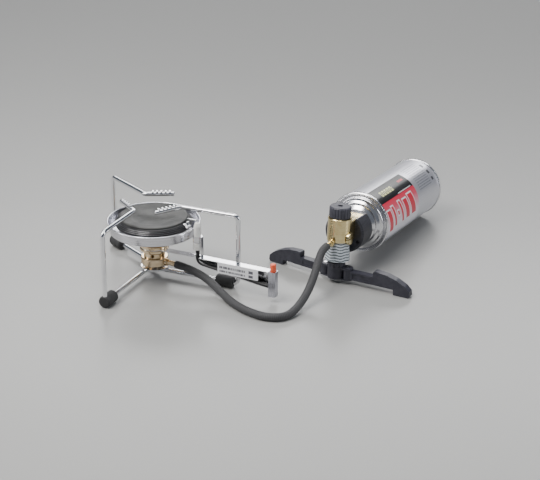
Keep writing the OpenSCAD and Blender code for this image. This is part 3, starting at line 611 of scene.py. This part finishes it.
def can_print_finish(look):
    """The printed wrap: a dark panel, a red panel fading to white, and silver with plain marks."""
    f = Finish("can_print", (0.8, 0.8, 0.85), 0.3, 0.6, Coat_Weight=0.15, Coat_Roughness=0.2)
    _, angle, z = f.polar(f.local(CAN))
    # degrees from the top of the can, positive down the side that faces the knob's front
    down = angle * (180.0 / math.pi)
    streak = f.noise(f.point(down * 0.5, z * 0.05, 0.0), 1.0, 3.0, 0.6)
    silver = f.ramp(streak, (0.3, (0.78, 0.78, 0.84)), (0.7, (0.86, 0.86, 0.9)))
    body = z.within(5.0, 93.5)
    dark = body * down.within(8.0, 45.0)
    red = body * down.within(45.0, 118.0)
    fade = f.range(down + streak * 6.0, 46.0, 96.0)
    red_colour = f.ramp(fade, (0.0, (0.6, 0.012, 0.045)), (0.35, (0.72, 0.1, 0.15)),
                        (0.7, (0.8, 0.42, 0.5)), (1.0, (0.82, 0.8, 0.86)))
    colour = f.mix(dark, silver, (0.006, 0.006, 0.007))
    colour = f.mix(red, colour, red_colour)
    # bold slanted bars with pale outlines, standing in for the print
    slant = z - (down - 72.0) * 0.13
    for at, wide, low, high in PRINT_BARS:
        bar = slant.within(at, at + wide) * down.within(low, high)
        halo = slant.within(at - 1.4, at + wide + 1.4) * down.within(low - 3.0, high + 3.0)
        colour = f.mix(halo * red, colour, (0.85, 0.82, 0.84))
        colour = f.mix(bar * red, colour, (0.66, 0.02, 0.05))
    # pale yellow dashes and a small red dash on the dark panel, and a thin white line
    dashes = ((z % 6.6) < 4.6) * z.within(20.0, 53.0) * down.within(21.0, 33.0)
    dashes = dashes * (1.0 - ((z % 6.6).within(1.3, 3.3) * down.within(24.0, 30.0)))
    colour = f.mix(dashes * dark, colour, (0.72, 0.72, 0.32))
    colour = f.mix(z.within(72.0, 86.0) * down.within(20.0, 25.0) * dark, colour, (0.5, 0.03, 0.04))
    colour = f.mix(z.within(52.0, 88.0) * down.within(42.0, 44.0) * (((z * 0.9) % 3.0) < 2.2), colour,
                   (0.8, 0.8, 0.8))
    # rows of fine grey marks towards the far end
    rows = ((down % 5.0) < 2.2) * z.within(104.0, 140.0) * down.within(4.0, 62.0)
    words = f.noise(f.point(z * 1.3, (down / 5.0).floor() * 7.0, 0.0), 1.0, 2.0) > 0.46
    colour = f.mix(rows * words * 0.6, colour, (0.2, 0.2, 0.26))
    blocks = z.within(144.0, 149.0) * ((down % 17.0) < 9.0) * down.within(10.0, 58.0)
    colour = f.mix(blocks * 0.85, colour, (0.05, 0.05, 0.06))
    printed = f.range(dark + red, 0.0, 1.0, 0.8, 0.05)
    f.set(Base_Color=colour, Metallic=printed, Roughness=f.range(streak, 0.3, 0.7, 0.28, 0.34))
    f.bump(streak, 0.02, 0.00003)


def braid_finish(look):
    """Fine fibres plaited at an angle over the hose, on the hose's own UV map."""
    f = Finish("hose_braid", look.hose_colour, 0.62, 0.0, Sheen_Weight=0.05)
    uv = f.node("ShaderNodeUVMap", {"uv_map": "surface"})
    u, v, _ = f.parts(uv)
    across, along = u * 22.0, v * 0.62
    left, right = (across + along) * math.pi, (across - along) * math.pi
    over = left.sine() * right.sine()
    thread = f.noise(f.point(across * 6.0, along * 1.4, 0.0), 1.0, 2.0)
    worn = f.noise(f.point(u * 3.0, v * 0.06, 0.0), 1.0, 4.0)
    f.set(Base_Color=f.mix(f.range(over, -0.6, 0.7), tuple(c * 0.45 for c in look.hose_colour),
                           f.mix(worn, tuple(look.hose_colour), tuple(c * 1.5 for c in look.hose_colour))),
          Roughness=f.range(thread, 0.3, 0.7, 0.5, 0.72))
    f.bump(over * 0.8 + thread * 0.3, 0.5, 0.00025)


def label_finish():
    """A white film label with rows of plain grey bars."""
    f = Finish("label_white", (0.84, 0.84, 0.86), 0.35, 0.0, Coat_Weight=0.3, Coat_Roughness=0.15)
    x, _, z = f.parts(f.local(IGNITER))
    row = z.within(24.0, 26.2) + z.within(28.2, 30.8)
    word = f.noise(f.point(x * 0.9, (z / 4.0).floor() * 5.0, 0.0), 1.0, 2.0) > 0.47
    ink = row * word * x.within(82.0, 112.0)
    square = x.within(116.0, 121.0) * (z.within(23.6, 26.6) + z.within(28.2, 31.4))
    f.set(Base_Color=f.mix(ink * 0.9, f.mix(square * 0.9, (0.9, 0.9, 0.92), (0.04, 0.04, 0.06)),
                           (0.06, 0.06, 0.08)))
    f.bump(f.noise(f.local(), 0.8, 2.0), 0.05, 0.0001)


def tag_finish():
    """A grey film sleeve printed with wavy dark lines."""
    f = Finish("tag_grey", (0.62, 0.66, 0.7), 0.35, 0.0, Coat_Weight=0.3, Coat_Roughness=0.12)
    _, angle, z = f.polar(f.local(VALVE))
    ripple = (angle * 7.0).sine() * 0.45 + z
    line = (ripple % 3.1) < 1.35
    broken = f.noise(f.point(angle * 9.0, z * 0.5, 0.0), 1.0, 2.0) > 0.36
    f.set(Base_Color=f.mix(line * broken * 0.92, (0.66, 0.72, 0.76), (0.05, 0.065, 0.085)))
    f.bump(f.noise(f.local(), 0.6, 2.0), 0.08, 0.0002)


# ---- sizes and colours a user would change ----

def colour_setting(name, description, default):
    return bpy.props.FloatVectorProperty(name=name, description=description, subtype="COLOR",
                                         default=default, min=0, max=1)


class StoveSettings(bpy.types.PropertyGroup):
    wire_radius: bpy.props.FloatProperty(
        name="Leg wire radius", description="Radius of the leg wire, in millimetres",
        default=2.4, min=1.0, max=3.0)
    knob_grooves: bpy.props.IntProperty(
        name="Knob grooves", description="Number of grooves around the knob", default=22, min=8, max=40)
    port_count: bpy.props.IntProperty(
        name="Gas ports", description="Number of gas ports in each ring of the burner head",
        default=84, min=24, max=120)
    cap_colour: colour_setting("Cap colour", "Colour of the burner cap", (0.075, 0.075, 0.073))
    brass_colour: colour_setting("Brass colour", "Colour of the brass", (0.88, 0.75, 0.42))
    button_colour: colour_setting("Button colour", "Colour of the ignition button", (0.85, 0.1, 0.03))
    hose_colour: colour_setting("Hose colour", "Colour of the hose's braid", (0.05, 0.05, 0.053))
    floor_colour: colour_setting("Floor colour", "Colour of the studio floor", (0.36, 0.36, 0.352))


def settings():
    return bpy.context.scene.stove_settings


# ---- pieces ----

# radii of the frame's hose and of the braid drawn in its place
HOSE_CORE, HOSE_RADIUS = 4.25, 4.2
HOSE_ROUTE = (
    (-112, -72.4, 19), (-106, -76, 18.8), (-98, -80.8, 17.8), (-88.5, -86.4, 15.6),
    (-79, -93.4, 12.6), (-70.5, -102.6, 9.4), (-62.5, -114, 6.6), (-54, -127.5, 4.8),
    (-44, -141.5, 4.3), (-32, -154.2, 4.3), (-18.5, -163.4, 4.3), (-4, -165.8, 4.3),
    (6.5, -160.5, 4.5), (14, -151, 5.8), (20.4, -140, 8.8), (26.2, -129, 13.8),
    (31, -118.5, 20.2), (34.7, -109.5, 27.2), (37.6, -101.6, 34), (40, -95.4, 39.6),
    (42.2, -90.6, 43.3), (44.6, -86.8, 45.3), (47.9, -81.9, 46.4))


class STOVE_OT_camera(bpy.types.Operator):
    """Set up the studio camera"""
    bl_idname = "stove.camera"
    bl_label = "Camera"

    def execute(self, context):
        down, roll = radians(23.62), radians(0.588)
        ahead = Vector((0, cos(down), -sin(down)))
        above = Vector((0, sin(down), cos(down)))
        right = Vector((1, 0, 0)) * cos(roll) + above * sin(roll)
        data = bpy.data.cameras.new("studio_camera")
        data.lens, data.sensor_width, data.sensor_fit = 93.2, 36, "HORIZONTAL"
        data.clip_start, data.clip_end = 0.05, 30
        camera = bpy.data.objects.new("studio_camera", data)
        place = Matrix((right, right.cross(ahead), -ahead)).transposed().to_4x4()
        place.translation = Vector((-0.0122, -1.4277, 0.6412))
        camera.matrix_world = place
        context.scene.collection.objects.link(camera)
        context.scene.camera = camera
        return {"FINISHED"}


class STOVE_OT_hose(bpy.types.Operator):
    """Lay the braided hose between the burner and the valve"""
    bl_idname = "stove.hose"
    bl_label = "Hose"

    def execute(self, context):
        path = flowing([Vector(p) for p in HOSE_ROUTE], 6)
        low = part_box("hose")[0].z / MM + HOSE_CORE
        path = [Vector((p.x, p.y, max(p.z, low))) for p in path]
        verts, faces, uvs = sweep(path, HOSE_RADIUS, 32)
        piece = finish_mesh("hose_cover", verts, faces, Matrix.Scale(MM, 4), "base", "hose_braid", 60,
                            ("hose",), uvs)
        points = [p * MM for p in path]
        length = sum((b - a).length for a, b in zip(points, points[1:]))
        return {"FINISHED"}


class STOVE_OT_legs(bpy.types.Operator):
    """Bend the three wire legs, with their toothed tips and rubber feet"""
    bl_idname = "stove.legs"
    bl_label = "Legs and feet"

    def execute(self, context):
        r = settings().wire_radius
        tip = radians(TIP_TURN)
        for site in LEGS:
            place, body = leg_frame(site), "leg_" + site[0]
            end = Vector((TIP_START + TIP_LONG * cos(tip), TIP_LONG * sin(tip), LEG_TOP))
            path = round_path([(0, 0, 13), (0, 0, LEG_LOW), (LEG_RUN, 0, LEG_LOW), (LEG_RUN, 0, LEG_TOP),
                               (TIP_START, 0, LEG_TOP), end - Vector((cos(tip), sin(tip), 0)) * 1.2],
                              [3, 5, 5, 4], 7)
            wire = sweep(path, r, 24, 1.1)
            collar = lathe_faces([(0, 12.1), (3.1, 12.1), (3.4, 12.4), (3.4, 13), (2.8, 13.45), (0, 13.5)],
                                 32)
            finish_mesh(body, *joined([wire[:2], collar]), place, body, "wire_chrome", 50,
                        ("leg_wire_" + site[0],))
            tooth = prism(rounded([(-1.25, 0), (1.3, 0), (1.0, 2.3), (-0.9, 2.3)], 0.2, True, 2), 3.4, 0.25)
            tooth = moved(tooth, shift(0, 1.7, 0) @ spin(90, "X"))
            points = []
            for i in range(TEETH):
                along = TOOTH_FIRST + i * TOOTH_PITCH
                points.append((TIP_START + along * cos(tip), along * sin(tip), TOOTH_Z, 0, 0, TIP_TURN))
            scattered("teeth_" + site[0], tooth, points, place, body, "wire_chrome")
            foot = rounded([(0, 0), (2.5, 0, 0), (2.5, 0.6), (5.6, 0.4), (6.5, 1.6), (6.5, 18.4),
                            (5.6, 19.6), (2.5, 19.4), (2.5, FOOT_LONG, 0), (0, FOOT_LONG)], 0.9)
            if site[3] + FOOT_LONG > LEG_RUN:
                foot = foot[:-4] + [Vector((6.2, 19.3)), Vector((5.4, FOOT_LONG)), Vector((0, FOOT_LONG))]
            side = place @ shift(site[3], 0, LEG_LOW) @ spin(90, "Y")
            lathe("rubber_foot_" + site[0], foot, side, body, "foot_rubber", 48, 35, ("foot_" + site[0],))
        return {"FINISHED"}


class STOVE_OT_burner(bpy.types.Operator):
    """Turn the bowl, the cap and the ring of ports, and line the notch for the spark"""
    bl_idname = "stove.burner"
    bl_label = "Burner"

    def execute(self, context):
        rim = (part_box("burner_bowl")[1].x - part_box("burner_bowl")[0].x) / 2 / MM
        roll = 0.9
        lip = [(rim - roll + roll * cos(radians(a)), RIM_Z + roll * sin(radians(a)))
               for a in range(-20, 201, 20)]
        outer = rounded([(8.2, BOWL_BASE), (22, BOWL_BASE, 10), (41, 50.5, 6), (rim - 2.6, 53.5, 1.8),
                         (rim - 1.15, 63.1)], 2)
        inner = rounded([(rim - 1.95, 63.1), (rim - 3.5, 54.4, 1.5), (40.6, 51.4, 6), (22, 44.9, 9),
                         (8.2, 44.9)], 2)
        lathe("bowl", [*outer, *lip, *inner], BURNER, "base", "bowl_steel", 144, 40, ("burner_bowl",))
        cap = rounded([(0, 65.8), (32, 66.4, 1), (33, 68.0, 0.4), (36.2, 68.1, 0.3), (36.0, 69.5, 0.9),
                       (34.6, 69.8, 0.6), (31.5, 69.3, 3), (22, 68.3, 12), (0, 67.5)], 1)
        lathe("cap", cap, BURNER, "base", "cap_grey", 144, 50, ("burner_cap",))
        steps = [(33.2, 65.4), (37.0, 62.2), (41.3, 62.1, 0.3), (41.5, 62.9, 0.3), (40.4, 64.0, 0.2),
                 (40.5, 64.4, 0.2), (39.3, 65.4, 0.2), (39.4, 65.8, 0.2), (38.1, 66.8, 0.2),
                 (38.2, 67.2, 0.2), (36.8, 68.0, 0.2), (33.2, 68.0)]
        ring = rounded(steps, 0.3)
        notch, cuts = IGNITER_TURN, 160
        verts, faces = lathe_faces([tuple(p) for p in ring], cuts, notch + 6.0, 348.0)
        n = len(ring)
        faces += [tuple(range(n)), tuple(range(cuts * n + n - 1, cuts * n - 1, -1))]
        finish_mesh("port_head", verts, faces, BURNER, "base", "port_dark", 30, ("port_ring",))
        wedge = prism(rounded([(-2.6, 0), (2.6, 0), (1.6, 5.2), (-1.6, 5.2)], 0.3, True, 2), 0.5, 0.1)
        count = settings().port_count
        web = prism(rounded([(-0.28, -1.1), (0.28, -1.1), (0.28, 1.1), (-0.28, 1.1)], 0.25, True, 2), 0.5,
                    0.12)
        points = []
        for row, (radius, z) in enumerate(((40.9, 63.65), (39.8, 65.05), (38.7, 66.4))):
            for k in range(count):
                a = notch + 8.0 + 344.0 * (k + 0.5 * (row % 2)) / count
                points.append((radius * cos(radians(a)), radius * sin(radians(a)), z, 0, 45, a))
        scattered("port_webs", web, points, BURNER, "base", "port_dark", "port_dots")
        # a bright folded plate lines the notch beside the electrode
        shield = prism(rounded([(0, -0.8), (11, -4.6), (11, 4.6), (0, 0.8)], 0.5, True, 3), 0.6, 0.15)
        leaning = turned(BURNER, notch) @ shift(32.5, 0, 67.8) @ spin(21, "Y")
        finish_mesh("spark_shield", *shield, leaning, "base", "plate_steel")
        for side in (-1, 1):
            a = notch + side * 6.4
            place = turned(BURNER, a) @ shift(38.9, 0, 62.6) @ spin(90, "X")
            finish_mesh("port_wedge_" + ("left" if side < 0 else "right"), *wedge, place, "base",
                        "plate_steel")
        return {"FINISHED"}


class STOVE_OT_igniter(bpy.types.Operator):
    """Fit the electrode in its ceramic, the two leads and the ignition button"""
    bl_idname = "stove.igniter"
    bl_label = "Igniter"

    def execute(self, context):
        u, v = 55.1, -5.4
        here = IGNITER @ shift(u, v, 0)
        body = rounded([(0, 43.2), (4.7, 43.2, 0.6), (4.8, 50.2, 0.6), (4.1, 50.8, 0.2), (4.1, 51.6, 0.1),
                        (3.5, 51.6, 0.1), (3.5, 58.2, 0.1), (3.9, 58.4, 0.3), (3.9, 65.5, 0.3),
                        (3.55, 65.9, 0.2), (3.9, 66.3, 0.3), (3.9, 69.5, 0.8), (2.6, 73.2, 0.8),
                        (0.95, 73.7, 0.3), (0, 73.7)], 0.4)
        lathe("ceramic_holder", body, here, "base", "ceramic", 48, 50, ("electrode_holder",))
        rod = round_path([(0, 0, 70), (0, 0, 75.7), (-11.1, 0, 75.7)], [2], 12)
        verts, faces, _ = sweep(rod, 0.9, 16, 0.6)
        finish_mesh("spark_rod", verts, faces, here, "base", "plate_steel", 50, ("electrode_rod",))
        cables = (("spark_cable", "ignition_lead", 1.7, 36, 8.4),
                  ("ground_cable", "ground_lead", -1.6, 34.2, 6.9))
        clip_z, case_u, bend = 45.2, 137.7, 7
        for name, node, side, turn_z, slope in cables:
            bend_z = turn_z - bend * tan(radians(45 - slope / 2))
            case_z = bend_z - (case_u - u) * tan(radians(slope))
            path = round_path([(u, v + side, clip_z), (u, v + side, bend_z), (case_u, v + side, case_z)],
                              [bend], 8)
            verts, faces, _ = sweep(path, 1.38, 18)
            finish_mesh(name, verts, faces, IGNITER, "base", "lead_black", 50, (node,))
        # the ignition button
        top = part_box("igniter_button")[1].z / MM
        button = rounded([(0, 30.5), (3.1, 30.5, 0.3), (3.1, top - 0.1, 1.8), (0, top)], 0.3)
        lathe("red_button", button, IGNITER_CASE, "button", "button_red", 40, 60, ("igniter_button",))
        return {"FINISHED"}


class STOVE_OT_valve(bpy.types.Operator):
    """Turn the valve's grooved knob"""
    bl_idname = "stove.valve"
    bl_label = "Valve and knob"

    def execute(self, context):
        grooves = settings().knob_grooves
        base = 21.9
        def flute(angle, z):
            dip = max(0.0, cos(angle * grooves)) ** 3
            return 1.0 - 0.055 * dip * (1.0 if base + 0.5 < z < base + 11.6 else 0.0)
        knob = rounded([(0, base), (11.2, base, 0.5), (11.7, base + 0.6, 0.4), (11.7, base + 10.6, 0.5),
                        (10.6, base + 12.2, 0.6), (2.9, base + 12.2, 0.3), (2.7, base + 9.5, 0.2),
                        (0, base + 9.5)], 0.3, steps=4)
        lathe("knob_cover", knob, VALVE, "knob", "knob_black", grooves * 12, 50, ("knob",), wave=flute)
        return {"FINISHED"}


class STOVE_OT_can(bpy.types.Operator):
    """Draw the gas can: its printed wall, its domed end and its base"""
    bl_idname = "stove.can"
    bl_label = "Gas can"

    def execute(self, context):
        long = 161.0
        outer, inner, seam_z = 33.0, 32.42, 0.75
        wall = [(outer, seam_z), (outer, long - seam_z), (inner, long - seam_z), (inner, seam_z)]
        lathe("can_wall", [*wall, wall[0]], CAN, "can", "can_print", 144, 50, ("can_body",))
        seam = [(33.05, 3.8, 0), (33.05, 0.7, 0), (32.3, 0.7, 0), (32.3, 6, 0), (31.8, 6, 0),
                (31.8, 3.6, 0.3)]
        rim = [(32.1, 0.0, 0.35), (33.1, 0.0, 0.6), (34.0, 0.6, 0.6), (34.0, 3.3, 0.4), (33.4, 3.8, 0.2)]
        dome = seam + [(29.4, 3.0, 0.8), (28.0, -1.2, 1.2), (25.8, -1.6, 1.0), (23.4, -3.6, 1.4),
                       (21.2, -4.0, 1.2), (17, -7.4, 1.5), (14.9, -7.6, 0.2), (14.9, -8.4, 0.2),
                       (17.2, -8.2, 1.5), (21.2, -4.8, 1.2), (23.4, -4.4, 1.4), (26, -2.4, 1),
                       (28.6, -2.0, 1.2), (30.0, 2.2, 0.8), (31.2, 2.8, 0.6), (31.6, 0.6, 0.3)] + rim
        lathe("can_shoulder", rounded(dome, 0.4, closed=True, steps=4), CAN, "can", "can_tin", 144, 55,
              ("can_dome",))
        flip = CAN @ shift(0, 0, long) @ Matrix.Rotation(math.pi, 4, "X")
        bottom = rounded([(0, 11), (29.8, 4.4, 1), (31.6, 6, 0.2), (32.3, 6, 0.1), (32.3, 0.7, 0),
                          (33.05, 0.7, 0), (33.05, 3.8, 0), (33.4, 3.8, 0.2), (34.0, 3.3, 0.4),
                          (34.0, 0.6, 0.6), (33.1, 0, 0.6), (32.1, 0, 0.35), (31.6, 0.6, 0.3),
                          (31.2, 2.4, 0.4), (29.4, 3.7, 1), (0, 10.3)], 0.4)
        lathe("can_bottom", bottom, flip, "can", "can_tin", 144, 55, ("can_base",))
        return {"FINISHED"}


class STOVE_OT_bracket(bpy.types.Operator):
    """Press the igniter's case, and stick the label on its bracket"""
    bl_idname = "stove.bracket"
    bl_label = "Bracket and case"

    def execute(self, context):
        top, deep = 34.6, 8.5
        # the case: a folded box with rounded edges and an open mouth
        square = rounded([(-4, -4.25), (4, -4.25), (4, 4.25), (-4, 4.25)], 0.9, True, 5)
        inside = [(p[0] * 0.84, p[1] * 0.85) for p in square]
        n = len(square)
        rings = [(square, 0.982, 6.4), (square, 1.0, 6.9), (square, 1.0, top - 0.35), (square, 0.985, top),
                 (inside, 1.0, top), (inside, 1.0, 7.2)]
        verts = [(p[0] * k, p[1] * k, z) for outline, k, z in rings for p in outline]
        faces = [(a * n + i, a * n + (i + 1) % n, (a + 1) * n + (i + 1) % n, (a + 1) * n + i)
                 for a in range(len(rings) - 1) for i in range(n)]
        faces += [tuple(range(n - 1, -1, -1)), tuple(range((len(rings) - 1) * n, len(rings) * n))]
        finish_mesh("igniter_case", verts, faces, IGNITER_CASE, "base", "case_steel", 40, ("piezo_case",))
        # the label lies on the upper part of the bracket's web
        front = IGNITER @ shift(0, -deep - 0.3, 0) @ spin(90, "X")
        front = front @ Matrix.Scale(-1, 4, (0, 0, 1))
        film = rounded([(80, 22.2), (127, 22.2), (127, 34.4), (80, 34.4)], 1.0, True, 4)
        finish_mesh("print_label", *prism(film, 0.3, 0.09), front, "base", "label_white", 35,
                    ("bracket_label",))
        return {"FINISHED"}


class STOVE_OT_frame_finishes(bpy.types.Operator):
    """Give every piece that comes from the frame its own finish"""
    bl_idname = "stove.frame_finishes"
    bl_label = "Finish the frame's pieces"

    def execute(self, context):
        valve_brass = {"valve_body", "valve_spindle", "gland_nut", "side_plug", "valve_hose_tail",
                       "can_nozzle"}
        for part in frame["record"]["subparts"]:
            slot = part["material_slot"]
            if slot == "brass":
                slot = "brass_valve" if part["node"] in valve_brass else "brass_burner"
            mesh = frame["nodes"][part["node"]].data
            mesh.materials.clear()
            mesh.materials.append(finishes[slot])
        return {"FINISHED"}


class STOVE_OT_stage(bpy.types.Operator):
    """Lay the studio floor and hang the soft lights"""
    bl_idname = "stove.stage"
    bl_label = "Stage and lights"

    def execute(self, context):
        mesh = bpy.data.meshes.new("studio_floor")
        mesh.from_pydata([(-8, -8, 0), (8, -8, 0), (8, 10, 0), (-8, 10, 0)], [], [(0, 1, 2, 3)])
        floor = bpy.data.objects.new("studio_floor", mesh)
        context.scene.collection.objects.link(floor)
        f = Finish("studio_floor", settings().floor_colour, 0.34, Specular_IOR_Level=0.35)
        # painted shade: the floor is painted a little darker towards the back, where less light falls
        y = f.parts(f.local())[1]
        near = tuple(settings().floor_colour)
        f.set(Base_Color=f.ramp(f.range(y, -260.0, 560.0), (0.0, near),
                                (0.5, tuple(c * 0.81 for c in near)), (1.0, tuple(c * 0.77 for c in near))))
        mesh.materials.append(f.material)
        world = bpy.data.worlds.new("studio")
        world.use_nodes = True
        sky = world.node_tree.nodes["Background"]
        sky.inputs["Color"].default_value = (0.72, 0.78, 0.92, 1)
        sky.inputs["Strength"].default_value = 0.16
        context.scene.world = world
        for name, at, aim, size, watts, tint in (
                ("key", (-1.1, -0.6, 1.9), (0, 0, 0.03), (1.3, 1.0), 50, (1, 0.98, 0.95)),
                ("left_strip", (-1.7, -0.3, 0.75), (-0.1, -0.05, 0.05), (0.45, 1.3), 9, (1, 1, 1)),
                ("right_strip", (1.7, -0.5, 0.8), (0, -0.05, 0.05), (0.45, 1.3), 12, (0.95, 0.97, 1)),
                ("top", (0.1, 0.2, 2.3), (0, 0, 0), (1.5, 1.5), 32, (1, 1, 1)),
                ("back", (0.2, 1.9, 1.1), (0, 0, 0.03), (2.2, 0.5), 24, (1, 1, 1))):
            data = bpy.data.lights.new(name, "AREA")
            data.shape, data.size, data.size_y = "RECTANGLE", size[0], size[1]
            data.energy, data.color = watts, tint
            lamp = bpy.data.objects.new(name, data)
            aimed = (Vector(aim) - Vector(at)).to_track_quat("-Z", "Y").to_matrix().to_4x4()
            lamp.matrix_world = Matrix.Translation(at) @ aimed
            context.scene.collection.objects.link(lamp)
        return {"FINISHED"}


class STOVE_PT_panel(bpy.types.Panel):
    """The stove's sizes, colours and pieces"""
    bl_idname = "STOVE_PT_panel"
    bl_label = "Canister stove"
    bl_space_type = "VIEW_3D"
    bl_region_type = "UI"
    bl_category = "Stove"

    def draw(self, context):
        for name in StoveSettings.__annotations__:
            self.layout.prop(context.scene.stove_settings, name)
        for step in STEPS:
            self.layout.operator(step.bl_idname)


STEPS = (STOVE_OT_camera, STOVE_OT_hose, STOVE_OT_legs, STOVE_OT_burner, STOVE_OT_igniter, STOVE_OT_bracket,
         STOVE_OT_valve, STOVE_OT_can, STOVE_OT_frame_finishes, STOVE_OT_stage)


def register():
    for cls in (StoveSettings, *STEPS, STOVE_PT_panel):
        bpy.utils.register_class(cls)
    bpy.types.Scene.stove_settings = bpy.props.PointerProperty(type=StoveSettings)


def unregister():
    del bpy.types.Scene.stove_settings
    for cls in reversed((StoveSettings, *STEPS, STOVE_PT_panel)):
        bpy.utils.unregister_class(cls)


def main():
    register()
    make_finishes(settings())
    for step in STEPS:
        group, name = step.bl_idname.split(".")
        getattr(getattr(bpy.ops, group), name)()


if __name__ == "__main__":
    main()
